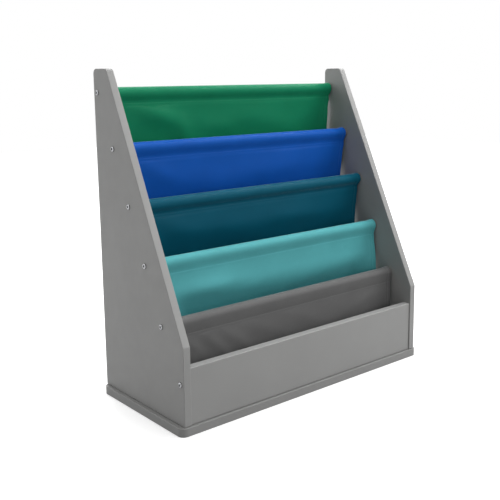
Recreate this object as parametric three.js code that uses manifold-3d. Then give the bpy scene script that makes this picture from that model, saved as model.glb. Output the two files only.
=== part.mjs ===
import * as THREE from 'three';
import { mergeVertices } from 'three/addons/utils/BufferGeometryUtils.js';
import Module from 'manifold-3d';

// Sling bookshelf for children: a base board, two side panels with a sloping front edge, a low
// front panel, and five cloth sections that hang from five dowels as a stair of book pockets.
// Millimetres, +Z up, +X to the right as seen from the front, +Y to the rear.
// The origin lies on the floor under the middle of the base board.

const wasm = await Module();
wasm.setup();

// Overall sizes
const overallWidth = 762;
const overallDepth = 330;
const overallHeight = 762;

// Clearances
const seatGap = 0.3; // between two boards, and under a screw head
const boreClearance = 0.3; // round a screw or a pin in its hole
const clothGap = 0.4; // between cloth and what it lies against
const cutOverrun = 1; // how far a cutter runs past the face that it opens

// Base board
const baseThickness = 20;
const baseCornerRadius = 16;

// Side panels
const sideThickness = 18;
const sideOverhang = 10; // how far the base reaches past each of them
const sideFrontInset = 3; // behind the base's front edge
const sideTopDepth = 57; // flat top, measured to the virtual corner
const kneeHeight = 194; // where the sloping edge meets the short upright one
const topCornerRadius = 12;
const kneeRadius = 10;
const footCornerRadius = 2;

// Front panel
const frontThickness = 20;
const frontHeight = 127;
const frontReveal = 3; // behind the front edges of the side panels
const frontTopRadius = 2;

// Rounded-over edges of the boards
const edgeRound = 1.5;

// Dowels, in a line parallel to the sloping edge
const slingNames = ['sling_green', 'sling_blue', 'sling_teal', 'sling_aqua', 'apron_gray'];
const slingColors = [0x1c6e4e, 0x1c4b9b, 0x164c5c, 0x52989e, 0x585858];
const dowelRadius = 10;
const dowelChamfer = 1;
const dowelSetback = 60; // from the sloping edge to the dowel axes
const topDowelDrop = 52.5; // from the top of the side panels to the highest dowel's axis
const lowDowelRise = 74.5; // from the top of the front panel to the lowest dowel's axis

// Cloth
const clothThickness = 1.2;
const clothSideGap = 3; // from the cloth's side hem to the side panel
const sleeveEase = 2.2; // how much the sleeve is wider than the dowel, in radius
const sleeveStartShare = 0.35; // how steeply the sleeve leaves the dowel's round
const sleeveLimitShare = 5 / 12; // the widest angle between its side and the seam, of a half turn
const sleeveHandleShare = 0.36; // how full its sides are
const seamDrop = 24; // from the dowel axis down to the seam
const seamForward = 12; // from the dowel axis forward to the seam
const seamForwardShares = [0, 0.35, 0, 0.5, 1];
const seamAllowance = 9; // double cloth below the seam
const pocketDrop = 96; // from the dowel axis in front down to the pocket's bottom
const bottomSag = 5; // more in the middle of the width
const backLegReach = 80; // how far down the cloth keeps hanging straight
const bottomReachBack = 45;
const bottomReachShares = [1, 1, 0.9, 0.2];
const bottomReachFront = 22;
const frontLegReach = 30;
const frontLegLean = 8;
const apronFloorGap = 6;
const apronHem = 14;
const leanBack = 14; // how far the hanging sheet leans to the rear
const leanShares = [0.75, 0.85, 0.75, -0.4, -0.5];
const tuckDepth = 26; // how far the lower part of a sheet draws back under its upper part
const tuckShares = [0.1, 0.1, 0.5, 1];
const tuckStart = 42; // below the seam
const tuckEnd = 125;
const tuckHemReach = 90; // it fades over this width towards each side hem
const drawIn = 9; // how far each side hem is drawn in at the pocket's bottom
const drawInShares = [0.8, 1, 0.7, 0.1, 0.1];
const foldDepth = 3.2;
const foldShares = [1, 0.6, 0.5, 0.5, 0.9];
const foldWaves = [[2, 3.5], [1.5, 4], [2.5, 4.5], [1, 3], [3, 5]];
const foldPhaseShares = [[0.15, 0.4], [0.55, 0.1], [0.3, 0.8], [0.7, 0.25], [0.05, 0.6]];
const foldWaveShares = [0.65, 0.35];
const widthSteps = 10;
const sleeveSteps = 10;
const sleeveSideSteps = 4;
const backLegSteps = 12;
const frontLegSteps = 7;
const apronSteps = 8;

// Screws with a low round head, for the dowels and the front panel
const screwLength = 50;
const screwRadius = 2.8;
const screwTip = 5;
const headRadius = 6;
const headHeight = 2.6;
const headShares = [[1, 0], [1, 0.4], [0.86, 0.76], [0.6, 1]]; // radius and height
const socketRadius = 2.9;
const socketDepth = 2.3;
const frontScrewHeight = 112;

// Countersunk screws from below
const baseScrewLength = 55;
const coneRadius = 5;
const coneDepth = 4;
const coneLip = 0.6;
const headRecess = 0.6; // above the underside of the base
const sideScrewInset = 42; // from the ends of a side panel
const frontScrewSpacing = 240;

// Wooden locating pins
const pinRadius = 4;
const pinLength = 28;
const pinChamfer = 1;
const pinInBase = 12;
const pinInSide = 11;
const pinSpacing = 84; // either side of the middle of a side panel
const frontPinHeight = 52;

// Steps of round and curved shapes
const mergeTolerance = 1e-4;
const boardArcSteps = 3;
const frontArcSteps = 2;
const edgeRoundSteps = 2;
const boreSides = 12;
const dowelSides = 24;
const headSides = 16;
const socketSides = 6;

// Where things lie
const rearY = overallDepth / 2;
const sideFrontY = -rearY + sideFrontInset;
const sideMiddleY = (rearY + sideFrontY) / 2;
const sideBottomZ = baseThickness + seatGap;
const outerX = overallWidth / 2 - sideOverhang;
const sideX = outerX - sideThickness / 2;
const innerX = outerX - sideThickness;
const slopeTopY = rearY - sideTopDepth;
const slope = new THREE.Vector2(sideFrontY - slopeTopY, kneeHeight - overallHeight).normalize();
const slopeNormal = new THREE.Vector2(-slope.y, slope.x);
const frontFaceY = sideFrontY + frontReveal;
const frontMiddleY = frontFaceY + frontThickness / 2;
const frontBottomZ = baseThickness + seatGap;
const frontTopZ = frontBottomZ + frontHeight;
const frontLength = 2 * innerX - 2 * seatGap;
const clothHalfWidth = innerX - clothSideGap;

// The dowel axes as points of the Y-Z plane, evenly from the top one at the rear to the lowest
function dowelAxes() {
  const topZ = overallHeight - topDowelDrop;
  const topY = slopeTopY - topDowelDrop * slope.x / slope.y + dowelSetback / slopeNormal.x;
  const pitch = (frontTopZ + lowDowelRise - topZ) / slope.y / (slingNames.length - 1);
  return slingNames.map((name, k) => new THREE.Vector2(topY, topZ)
    .addScaledVector(slope, k * pitch));
}
const axes = dowelAxes();

// The seam that closes a sleeve, below its dowel
function seamPoint(k) {
  return new THREE.Vector2(
    axes[k].x - seamForward * seamForwardShares[k], axes[k].y - seamDrop);
}

// Solids for the cuts: shared vertices merged, triangles without area left out
function solid(geometry) {
  const bare = geometry.clone();
  bare.deleteAttribute('normal');
  bare.deleteAttribute('uv');
  const merged = mergeVertices(bare, mergeTolerance);
  const index = merged.index.array;
  const corners = [];
  for (let i = 0; i < index.length; i += 3) {
    const [a, b, c] = [index[i], index[i + 1], index[i + 2]];
    if (a !== b && b !== c && c !== a) corners.push(a, b, c);
  }
  const vertProperties = Float32Array.from(merged.attributes.position.array);
  const triVerts = Uint32Array.from(corners);
  return new wasm.Manifold(new wasm.Mesh({ numProp: 3, vertProperties, triVerts }));
}

function geometryOf(manifold) {
  const mesh = manifold.getMesh();
  const geometry = new THREE.BufferGeometry();
  const points = new THREE.BufferAttribute(Float32Array.from(mesh.vertProperties), 3);
  geometry.setAttribute('position', points);
  geometry.setIndex(Array.from(mesh.triVerts));
  geometry.computeVertexNormals();
  return geometry;
}

function cut(geometry, cutters) {
  let body = solid(geometry);
  for (const cutter of cutters) body = body.subtract(solid(cutter));
  return geometryOf(body);
}

// Turns that lay a shape's own axes along the part's
const alongX = new THREE.Matrix4().makeBasis(
  new THREE.Vector3(0, 1, 0), new THREE.Vector3(0, 0, 1), new THREE.Vector3(1, 0, 0));
const lyingOnX = new THREE.Matrix4().makeRotationZ(-Math.PI / 2);
const lyingOnMinusX = new THREE.Matrix4().makeRotationZ(Math.PI / 2);
const standing = new THREE.Matrix4().makeRotationX(Math.PI / 2);
const hanging = new THREE.Matrix4().makeRotationX(-Math.PI / 2);

// An outline with round corners, given as [across, up, radius] and in counter-clockwise order
function roundedOutline(corners) {
  const outline = new THREE.Shape();
  const count = corners.length;
  corners.forEach(([across, up, radius], i) => {
    const corner = new THREE.Vector2(across, up);
    const [beforeX, beforeY] = corners[(i + count - 1) % count];
    const [afterX, afterY] = corners[(i + 1) % count];
    const toBefore = new THREE.Vector2(beforeX, beforeY).sub(corner).normalize();
    const toAfter = new THREE.Vector2(afterX, afterY).sub(corner).normalize();
    const half = Math.acos(toBefore.dot(toAfter)) / 2;
    const inward = toBefore.clone().add(toAfter).normalize();
    const centre = corner.clone().addScaledVector(inward, radius / Math.sin(half));
    const reach = radius / Math.tan(half);
    const start = corner.clone().addScaledVector(toBefore, reach).sub(centre);
    const end = corner.clone().addScaledVector(toAfter, reach).sub(centre);
    outline.absarc(centre.x, centre.y, radius, start.angle(), end.angle(), false);
  });
  outline.closePath();
  return outline;
}

// A board of the given outline and thickness, centred on its own thickness, with rounded edges
function board(outline, thickness) {
  const geometry = new THREE.ExtrudeGeometry(outline, {
    depth: thickness - 2 * edgeRound,
    curveSegments: boardArcSteps,
    bevelSize: edgeRound,
    bevelThickness: edgeRound,
    bevelOffset: -edgeRound,
    bevelSegments: edgeRoundSteps,
  });
  geometry.translate(0, 0, edgeRound - thickness / 2);
  return geometry;
}

function rod(radius, length, sides = boreSides) {
  return new THREE.CylinderGeometry(radius, radius, length, sides);
}

// A hole along X through the middle of its length
function holeAlongX(radius, length, x, y, z) {
  return rod(radius, length).applyMatrix4(lyingOnX).translate(x, y, z);
}

// A hole that stands upright
function holeUpright(radius, length, x, y, z) {
  return rod(radius, length).applyMatrix4(standing).translate(x, y, z);
}

// Places that the holes and the fasteners share
const throughBoreRadius = screwRadius + boreClearance;
const pinBoreRadius = pinRadius + boreClearance;
const sideScrewYs = [sideFrontY + sideScrewInset, sideMiddleY, rearY - sideScrewInset];
const pinYs = [sideMiddleY - pinSpacing, sideMiddleY + pinSpacing];
const frontScrewXs = [-frontScrewSpacing, 0, frontScrewSpacing];
const headPlaces = [...axes, new THREE.Vector2(frontMiddleY, frontScrewHeight)];
const screwTopZ = headRecess + baseScrewLength;
const pinTopZ = baseThickness - pinInBase + pinLength;
const basePlaces = [
  ...[-sideX, sideX].flatMap((x) => sideScrewYs.map((y) => [x, y])),
  ...frontScrewXs.map((x) => [x, frontMiddleY]),
];

// Base board
function basePanel() {
  const halfWidth = overallWidth / 2;
  const outline = roundedOutline([
    [-halfWidth, -rearY, baseCornerRadius],
    [halfWidth, -rearY, baseCornerRadius],
    [halfWidth, rearY, baseCornerRadius],
    [-halfWidth, rearY, baseCornerRadius],
  ]);
  const plate = board(outline, baseThickness).translate(0, 0, baseThickness / 2);
  const sinkRadius = coneRadius + boreClearance;
  const sinkTop = headRecess + coneDepth + boreClearance;
  const sink = new THREE.LatheGeometry([
    new THREE.Vector2(0, -cutOverrun),
    new THREE.Vector2(sinkRadius, -cutOverrun),
    new THREE.Vector2(sinkRadius, headRecess + coneLip),
    new THREE.Vector2(throughBoreRadius, sinkTop),
    new THREE.Vector2(throughBoreRadius, baseThickness + cutOverrun),
    new THREE.Vector2(0, baseThickness + cutOverrun),
  ], boreSides).applyMatrix4(standing);
  const sinks = basePlaces.map(([x, y]) => sink.clone().translate(x, y, 0));
  const pinBoreLength = pinInBase + boreClearance + cutOverrun;
  const pinBoreZ = baseThickness + cutOverrun - pinBoreLength / 2;
  const pinBores = [-sideX, sideX].flatMap((x) => pinYs.map(
    (y) => holeUpright(pinBoreRadius, pinBoreLength, x, y, pinBoreZ)));
  return cut(plate, [...sinks, ...pinBores]);
}

// Side panel: hand is -1 for the left one and 1 for the right one
function sidePanel(hand) {
  const outline = roundedOutline([
    [sideFrontY, sideBottomZ, footCornerRadius],
    [rearY, sideBottomZ, footCornerRadius],
    [rearY, overallHeight, topCornerRadius],
    [slopeTopY, overallHeight, topCornerRadius],
    [sideFrontY, kneeHeight, kneeRadius],
  ]);
  const plate = board(outline, sideThickness).applyMatrix4(alongX);
  const throughLength = sideThickness + 2 * cutOverrun;
  const screwBores = headPlaces.map((place) => holeAlongX(
    throughBoreRadius, throughLength, 0, place.x, place.y));
  const frontPinLength = pinInSide + boreClearance + cutOverrun;
  const frontPinX = -hand * (sideThickness / 2 + cutOverrun - frontPinLength / 2);
  const frontPinBore = holeAlongX(
    pinBoreRadius, frontPinLength, frontPinX, frontMiddleY, frontPinHeight);
  const upright = (radius, top, y) => {
    const length = top + boreClearance - sideBottomZ + cutOverrun;
    return holeUpright(radius, length, 0, y, sideBottomZ - cutOverrun + length / 2);
  };
  const footBores = [
    ...sideScrewYs.map((y) => upright(throughBoreRadius, screwTopZ, y)),
    ...pinYs.map((y) => upright(pinBoreRadius, pinTopZ, y)),
  ];
  return cut(plate, [...screwBores, frontPinBore, ...footBores]);
}

// Front panel, with bores in its ends and in its lower edge
function frontPanel() {
  const backFaceY = frontFaceY + frontThickness;
  const outline = roundedOutline([
    [frontFaceY, frontBottomZ, footCornerRadius],
    [backFaceY, frontBottomZ, footCornerRadius],
    [backFaceY, frontTopZ, frontTopRadius],
    [frontFaceY, frontTopZ, frontTopRadius],
  ]);
  const plate = new THREE.ExtrudeGeometry(outline, {
    depth: frontLength,
    curveSegments: frontArcSteps,
    bevelEnabled: false,
  }).translate(0, 0, -frontLength / 2).applyMatrix4(alongX);
  const screwReach = screwLength - sideThickness + boreClearance;
  const pinReach = pinLength - pinInSide + boreClearance;
  const endBores = [-1, 1].flatMap((hand) => [
    [throughBoreRadius, screwReach, frontScrewHeight],
    [pinBoreRadius, pinReach, frontPinHeight],
  ].map(([radius, reach, z]) => {
    const length = reach + cutOverrun;
    const x = hand * (frontLength / 2 + cutOverrun - length / 2);
    return holeAlongX(radius, length, x, frontMiddleY, z);
  }));
  const footLength = screwTopZ + boreClearance - frontBottomZ + cutOverrun;
  const footZ = frontBottomZ - cutOverrun + footLength / 2;
  const footBores = frontScrewXs.map(
    (x) => holeUpright(throughBoreRadius, footLength, x, frontMiddleY, footZ));
  return cut(plate, [...endBores, ...footBores]);
}

// Dowel with chamfered ends and a pilot bore in each
function dowel() {
  const half = innerX - seatGap;
  const bore = half - (screwLength - sideThickness + boreClearance);
  const rim = dowelRadius - dowelChamfer;
  const outline = [
    [0, -bore], [throughBoreRadius, -bore], [throughBoreRadius, -half], [rim, -half],
    [dowelRadius, dowelChamfer - half], [dowelRadius, half - dowelChamfer],
    [rim, half], [throughBoreRadius, half], [throughBoreRadius, bore], [0, bore],
  ].map(([radius, along]) => new THREE.Vector2(radius, along));
  return geometryOf(solid(new THREE.LatheGeometry(outline, dowelSides).applyMatrix4(lyingOnX)));
}

// Screw with a low round head: its axis is Y, its head rests at Y = 0
function roundScrew() {
  const profile = [
    new THREE.Vector2(0, -screwLength),
    new THREE.Vector2(screwRadius, screwTip - screwLength),
    new THREE.Vector2(screwRadius, 0),
    ...headShares.map(([wide, high]) => new THREE.Vector2(wide * headRadius, high * headHeight)),
    new THREE.Vector2(0, headHeight),
  ];
  const socketLength = socketDepth + cutOverrun;
  const socket = rod(socketRadius, socketLength, socketSides)
    .translate(0, headHeight + cutOverrun - socketLength / 2, 0);
  return cut(new THREE.LatheGeometry(profile, headSides), [socket]);
}

// Countersunk screw: its axis is Y, the top of its head lies at Y = 0
function flatScrew() {
  const profile = [
    new THREE.Vector2(0, -baseScrewLength),
    new THREE.Vector2(screwRadius, screwTip - baseScrewLength),
    new THREE.Vector2(screwRadius, -coneDepth),
    new THREE.Vector2(coneRadius, -coneLip),
    new THREE.Vector2(coneRadius, 0),
    new THREE.Vector2(0, 0),
  ];
  const socketLength = socketDepth + cutOverrun;
  const socket = rod(socketRadius, socketLength, socketSides)
    .translate(0, cutOverrun - socketLength / 2, 0);
  return cut(new THREE.LatheGeometry(profile, boreSides), [socket]);
}

// Wooden pin with chamfered ends, standing on Y = 0
function locatingPin() {
  const rim = pinRadius - pinChamfer;
  const profile = [
    [0, 0], [rim, 0], [pinRadius, pinChamfer],
    [pinRadius, pinLength - pinChamfer], [rim, pinLength], [0, pinLength],
  ].map(([radius, along]) => new THREE.Vector2(radius, along));
  return geometryOf(solid(new THREE.LatheGeometry(profile, boreSides)));
}

// The path of a hanging sheet in the Y-Z plane, from the seam allowance of its own sleeve to the
// seam in front of it, with the pocket's bottom between, or straight down for the apron.
// The place across the width is -1 at the left hem and 1 at the right one.
function slingPath(k, across) {
  const seam = seamPoint(k);
  const start = new THREE.Vector2(seam.x - clothThickness / 2, seam.y - seamAllowance);
  const lean = leanBack * leanShares[k];
  if (k === axes.length - 1) {
    const end = new THREE.Vector2(start.x + lean, baseThickness + apronFloorGap);
    const points = new THREE.LineCurve(start, end).getPoints(apronSteps);
    return points.map((point, i) => ({ point, fall: i / apronSteps, back: true }));
  }
  const sag = bottomSag * (1 - across * across);
  const bottom = new THREE.Vector2(
    (axes[k].x + axes[k + 1].x) / 2, axes[k + 1].y - pocketDrop - sag);
  const end = seamPoint(k + 1);
  end.x += clothThickness + clothThickness / 2 + clothGap;
  end.y -= clothGap;
  const reachBack = bottomReachBack * bottomReachShares[k];
  const backLeg = new THREE.CubicBezierCurve(
    start,
    new THREE.Vector2(start.x + lean, start.y - backLegReach),
    new THREE.Vector2(bottom.x + reachBack, bottom.y),
    bottom);
  const frontLeg = new THREE.CubicBezierCurve(
    bottom,
    new THREE.Vector2(bottom.x - bottomReachFront, bottom.y),
    new THREE.Vector2(end.x + frontLegLean, end.y - frontLegReach),
    end);
  const down = backLeg.getPoints(backLegSteps)
    .map((point, i) => ({ point, fall: i / backLegSteps, back: true }));
  const up = frontLeg.getPoints(frontLegSteps).slice(1)
    .map((point, i) => ({ point, fall: 1 - (i + 1) / frontLegSteps, back: false }));
  return [...down, ...up];
}

// How far the sheet draws back below its upper part, before it turns into the pocket's bottom
function tuckAt(k, across, station, lowest) {
  if (!station.back || !axes[k + 1]) return 0;
  const depth = seamPoint(k).y - station.point.y;
  const back = THREE.MathUtils.smoothstep(depth, tuckStart, tuckEnd);
  const forth = 1 - THREE.MathUtils.smoothstep(depth, tuckEnd, seamPoint(k).y - lowest);
  const inset = (1 - Math.abs(across)) * clothHalfWidth;
  const inner = THREE.MathUtils.smoothstep(inset, 0, tuckHemReach);
  return tuckDepth * tuckShares[k] * inner * back * forth;
}

// How far the folds move a point of the sheet to the rear
function foldAt(k, across, station) {
  if (!station.back) return 0;
  const wave = foldWaves[k].reduce((sum, count, j) => sum + foldWaveShares[j]
    * Math.sin(Math.PI * (count * (across + 1) + 2 * foldPhaseShares[k][j])), 0);
  const free = axes[k + 1] ? Math.sin(Math.PI * station.fall) : station.fall;
  return foldDepth * foldShares[k] * wave * free * free;
}

// One side of a sleeve, from the seam up to the dowel's round: hand is 1 for the rear side and
// -1 for the front one. It gives the middle line, the angle at which it leaves the round, and
// the angle at which it meets the seam.
function sleeveSide(k, hand) {
  const radius = dowelRadius + clothGap + sleeveEase + clothThickness / 2;
  const centre = new THREE.Vector2(axes[k].x, axes[k].y - sleeveEase);
  const foot = seamPoint(k).add(new THREE.Vector2(hand * clothThickness / 2, 0));
  const reach = hand * (centre.x - foot.x) + radius;
  const first = sleeveStartShare * Math.atan2(reach, centre.y - foot.y);
  const shoulder = new THREE.Vector2(
    centre.x + hand * radius * Math.cos(first), centre.y - radius * Math.sin(first));
  const chord = shoulder.clone().sub(foot);
  const lean = Math.atan2(hand * chord.x, chord.y);
  const last = Math.min(2 * lean - first, Math.PI * sleeveLimitShare);
  const handle = sleeveHandleShare * chord.length();
  const curve = new THREE.CubicBezierCurve(
    foot,
    new THREE.Vector2(foot.x + hand * handle * Math.sin(last), foot.y + handle * Math.cos(last)),
    new THREE.Vector2(
      shoulder.x - hand * handle * Math.sin(first), shoulder.y - handle * Math.cos(first)),
    shoulder);
  const steps = Array.from({ length: sleeveSideSteps + 1 }, (none, i) => i / sleeveSideSteps);
  const line = steps.map((share) => {
    const run = curve.getTangent(share);
    return { point: curve.getPoint(share), out: new THREE.Vector2(hand * run.y, -hand * run.x) };
  });
  return { line, centre, radius, first, last };
}

// A sleeve from its seam over the dowel and back: points, and the directions out of the sleeve
function sleeveLine(rear, front) {
  const { centre, radius } = rear;
  const turn = Math.PI + rear.first + front.first;
  const over = Array.from({ length: sleeveSteps - 1 }, (none, i) => {
    const angle = -rear.first + turn * (i + 1) / sleeveSteps;
    const out = new THREE.Vector2(Math.cos(angle), Math.sin(angle));
    return { point: centre.clone().addScaledVector(out, radius), out };
  });
  return [...rear.line, ...over, ...front.line.reverse()];
}

// One cross section of a sling: the outer contour and the sleeve's bore
function slingSection(k, across) {
  const t = clothThickness;
  const seam = seamPoint(k);
  const rear = sleeveSide(k, 1);
  const front = sleeveSide(k, -1);
  const sleeve = sleeveLine(rear, front);
  const sleeveX = across * clothHalfWidth;
  const at = (y, z, x = sleeveX) => new THREE.Vector3(x, y, z);
  const beside = (reach) => ({ point, out }) => at(
    point.x + reach * out.x, point.y + reach * out.y);

  const stations = slingPath(k, across);
  const lowest = Math.min(...stations.map(({ point }) => point.y));
  stations.forEach((station) => {
    station.point.x += tuckAt(k, across, station, lowest) + foldAt(k, across, station);
    const soft = Math.sin(Math.PI * station.fall / 2);
    station.x = across * (clothHalfWidth - drawIn * drawInShares[k] * soft);
  });
  const last = stations.length - 1;
  const inner = [];
  const outer = [];
  stations.forEach(({ point, x }, i) => {
    const ahead = stations[Math.min(i + 1, last)].point;
    const behind = stations[Math.max(i - 1, 0)].point;
    const run = i === 0 ? new THREE.Vector2(0, -1) : ahead.clone().sub(behind).normalize();
    const side = new THREE.Vector2(run.y, -run.x);
    const hemmed = !axes[k + 1] && point.y < baseThickness + apronFloorGap + apronHem;
    const half = hemmed ? t : t / 2;
    inner.push(at(point.x + half * side.x, point.y + half * side.y, x));
    outer.push(at(point.x - half * side.x, point.y - half * side.y, x));
  });
  const contour = [
    at(seam.x + t, seam.y - seamAllowance),
    at(seam.x + t, seam.y - t / 2 * Math.tan(rear.last / 2)),
    ...sleeve.slice(1, -1).map(beside(t / 2)),
    at(seam.x - t, seam.y - t / 2 * Math.tan(front.last / 2)),
    ...inner,
    ...outer.reverse(),
  ];
  const bore = [at(seam.x, seam.y), ...sleeve.map(beside(-t / 2))];
  return { contour, bore };
}

// Cloth section: its cross sections joined from hem to hem, with both ends closed
function sling(k) {
  const sections = Array.from({ length: widthSteps + 1 }, (none, i) => slingSection(
    k, 2 * i / widthSteps - 1));
  const positions = [];
  const corners = [];
  const ringSize = sections[0].contour.length + sections[0].bore.length;
  for (const { contour, bore } of sections) {
    for (const point of [...contour, ...bore]) positions.push(point.x, point.y, point.z);
  }
  const joinRings = (first, count, flip) => {
    for (let i = 0; i < widthSteps; i += 1) {
      for (let j = 0; j < count; j += 1) {
        const a = i * ringSize + first + j;
        const b = i * ringSize + first + (j + 1) % count;
        const [p, q] = flip ? [b, a] : [a, b];
        corners.push(p, q, q + ringSize, p, q + ringSize, p + ringSize);
      }
    }
  };
  const { length: contourSize } = sections[0].contour;
  const { length: boreSize } = sections[0].bore;
  joinRings(0, contourSize, false);
  joinRings(contourSize, boreSize, true);
  const closeEnd = ({ contour, bore }, first, flip) => {
    const flat = (points) => points.map((point) => new THREE.Vector2(point.y, point.z));
    const faces = THREE.ShapeUtils.triangulateShape(flat(contour), [flat(bore)]);
    for (const face of faces) {
      const [a, b, c] = face.map((corner) => first + corner);
      corners.push(a, flip ? c : b, flip ? b : c);
    }
  };
  closeEnd(sections[0], 0, true);
  closeEnd(sections[widthSteps], widthSteps * ringSize, false);
  const geometry = new THREE.BufferGeometry();
  geometry.setAttribute('position', new THREE.Float32BufferAttribute(positions, 3));
  geometry.setIndex(corners);
  geometry.computeVertexNormals();
  return geometry;
}

// Materials
const paint = new THREE.MeshStandardMaterial({ color: 0x868481, roughness: 0.55 });
const wood = new THREE.MeshStandardMaterial({ color: 0xc9a878, roughness: 0.7 });
const steel = new THREE.MeshStandardMaterial({ color: 0xb9bcc0, roughness: 0.3, metalness: 1 });

function piece(name, geometry, material, x, y, z) {
  const mesh = new THREE.Mesh(geometry, material);
  mesh.name = name;
  mesh.position.set(x, y, z);
  return mesh;
}

const bookshelf = new THREE.Group();

// Boards
const boards = new THREE.Group();
boards.add(
  piece('base_panel', basePanel(), paint, 0, 0, 0),
  piece('left_side_panel', sidePanel(-1), paint, -sideX, 0, 0),
  piece('right_side_panel', sidePanel(1), paint, sideX, 0, 0),
  piece('front_panel', frontPanel(), paint, 0, 0, 0));
bookshelf.add(boards);

// Dowels and cloth
const dowelShape = dowel();
axes.forEach((axis, k) => {
  bookshelf.add(piece(`dowel_${k + 1}`, dowelShape, wood, 0, axis.x, axis.y));
  const cloth = new THREE.MeshStandardMaterial({ color: slingColors[k], roughness: 0.9 });
  bookshelf.add(piece(slingNames[k], sling(k), cloth, 0, 0, 0));
});

// Screws through the side panels
const roundScrewShape = roundScrew();
const headX = outerX + seatGap;
headPlaces.forEach((place, k) => {
  const stem = k < axes.length ? 'dowel_screw' : 'front_panel_screw';
  const number = k < axes.length ? `_${k + 1}` : '';
  const left = roundScrewShape.clone().applyMatrix4(lyingOnMinusX);
  const right = roundScrewShape.clone().applyMatrix4(lyingOnX);
  bookshelf.add(
    piece(`${stem}_left${number}`, left, steel, -headX, place.x, place.y),
    piece(`${stem}_right${number}`, right, steel, headX, place.x, place.y));
});

// Screws from below
const flatScrewShape = flatScrew().applyMatrix4(hanging);
basePlaces.forEach(([x, y], i) => {
  bookshelf.add(piece(`base_screw_${i + 1}`, flatScrewShape, steel, x, y, headRecess));
});

// Locating pins
const pinShape = locatingPin();
const standingPin = pinShape.clone().applyMatrix4(standing);
[-1, 1].forEach((hand) => {
  const sideName = hand < 0 ? 'left' : 'right';
  pinYs.forEach((y, i) => {
    bookshelf.add(piece(
      `side_pin_${sideName}_${i + 1}`, standingPin, wood,
      hand * sideX, y, baseThickness - pinInBase));
  });
  const lying = pinShape.clone().applyMatrix4(hand < 0 ? lyingOnX : lyingOnMinusX);
  bookshelf.add(piece(
    `front_pin_${sideName}`, lying, wood,
    hand * (innerX + pinInSide), frontMiddleY, frontPinHeight));
});

export default bookshelf;
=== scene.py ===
"""Sling bookshelf for children: the looks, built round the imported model.

Everything is in metres, +Z up, +X to the right as seen from the front, +Y to the rear.
Boards, dowels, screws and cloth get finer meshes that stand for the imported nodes, and each
material is made of procedural nodes.
"""

import math

import bmesh
import bpy
import numpy as np
from mathutils import Matrix, Vector
from mathutils.geometry import tessellate_polygon

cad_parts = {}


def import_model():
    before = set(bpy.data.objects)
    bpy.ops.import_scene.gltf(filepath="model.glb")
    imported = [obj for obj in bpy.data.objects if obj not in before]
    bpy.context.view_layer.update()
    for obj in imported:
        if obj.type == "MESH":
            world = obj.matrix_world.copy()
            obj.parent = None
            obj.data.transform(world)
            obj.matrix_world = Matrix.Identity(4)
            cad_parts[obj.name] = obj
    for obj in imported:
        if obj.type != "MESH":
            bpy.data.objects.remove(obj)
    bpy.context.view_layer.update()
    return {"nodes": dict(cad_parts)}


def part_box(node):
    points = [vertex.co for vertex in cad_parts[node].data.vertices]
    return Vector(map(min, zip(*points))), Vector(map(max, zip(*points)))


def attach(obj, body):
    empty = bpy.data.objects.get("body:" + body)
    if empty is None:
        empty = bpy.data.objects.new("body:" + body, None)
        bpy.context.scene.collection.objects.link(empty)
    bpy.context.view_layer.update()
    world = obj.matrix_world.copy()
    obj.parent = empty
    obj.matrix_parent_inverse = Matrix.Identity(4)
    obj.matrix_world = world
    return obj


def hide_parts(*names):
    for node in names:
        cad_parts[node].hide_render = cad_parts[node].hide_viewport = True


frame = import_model()

# Camera
CAMERA_PLACE = (-1.24034, -1.45511, 0.74974)
CAMERA_AZIMUTH = -40.714
CAMERA_TILT_DOWN = 10.321
CAMERA_ROLL = -0.346
SENSOR_WIDTH = 36.0
FOCAL_LENGTH = 56.94
CAMERA_SHIFT = (-0.0443, -0.0656)

# Boards
BOARD_EDGE_ROUND = 0.0015
BASE_CORNER_RADIUS = 0.016
SIDE_TOP_DEPTH = 0.057
KNEE_HEIGHT = 0.194
TOP_CORNER_RADIUS = 0.012
KNEE_RADIUS = 0.010
FOOT_CORNER_RADIUS = 0.002
FRONT_EDGE_ROUND = 0.002
FRONT_END_ROUND = 0.0005
CORNER_STEPS = 14
EDGE_ROUND_STEPS = 5
BOARD_SMOOTH_ANGLE = 40

# Screws and their holes
BORE_CLEARANCE = 0.0003
CUT_OVERRUN = 0.002
SCREW_RADIUS = 0.0028
SCREW_TIP = 0.005
HEAD_RADIUS = 0.006
HEAD_HEIGHT = 0.0026
HEAD_DOME_STEPS = 8
HEAD_SIDE_HEIGHT = 0.0009
HEAD_FLAT_SHARE = 0.58
SOCKET_RADIUS = 0.0029
SOCKET_DEPTH = 0.0023
SOCKET_LIP = 0.00025
CONE_RADIUS = 0.005
CONE_DEPTH = 0.004
CONE_LIP = 0.0006
ROUND_SIDES = 48
TURNED_SMOOTH_ANGLE = 32
DOWEL_CHAMFER = 0.001
PILOT_DEPTH = 0.0323
BASE_SCREW_COUNT = 9
SIDE_PIN_COUNT = 2

# Cloth: the hanging shape
CLOTH_THICKNESS = 0.0012
CLOTH_SIDE_GAP = 0.003
CLOTH_GAP = 0.0004
SLEEVE_EASE = 0.0022
SEAM_DROP = 0.024
SEAM_FORWARD = 0.012
SEAM_ALLOWANCE = 0.009
POCKET_DROP = 0.096
BOTTOM_SAG = 0.005
BACK_LEG_REACH = 0.080
BOTTOM_REACH_BACK = 0.045
BOTTOM_REACH_FRONT = 0.022
FRONT_LEG_REACH = 0.030
FRONT_LEG_LEAN = 0.008
APRON_FLOOR_GAP = 0.006
APRON_HEM = 0.014
LEAN_BACK = 0.014
DRAW_IN = 0.009
FOLD_DEPTH = 0.0032
FOLD_WAVE_SHARES = (0.65, 0.35)
TUCK_START = 0.042
TUCK_END = 0.125
TUCK_DEPTH = 0.026
TUCK_HEM_REACH = 0.090
LUMP_SEAM_REACH = 0.012
SEAM_DRAW_IN = 0.004
SEAM_DRAW_REACH_SHARE = 0.045

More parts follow.
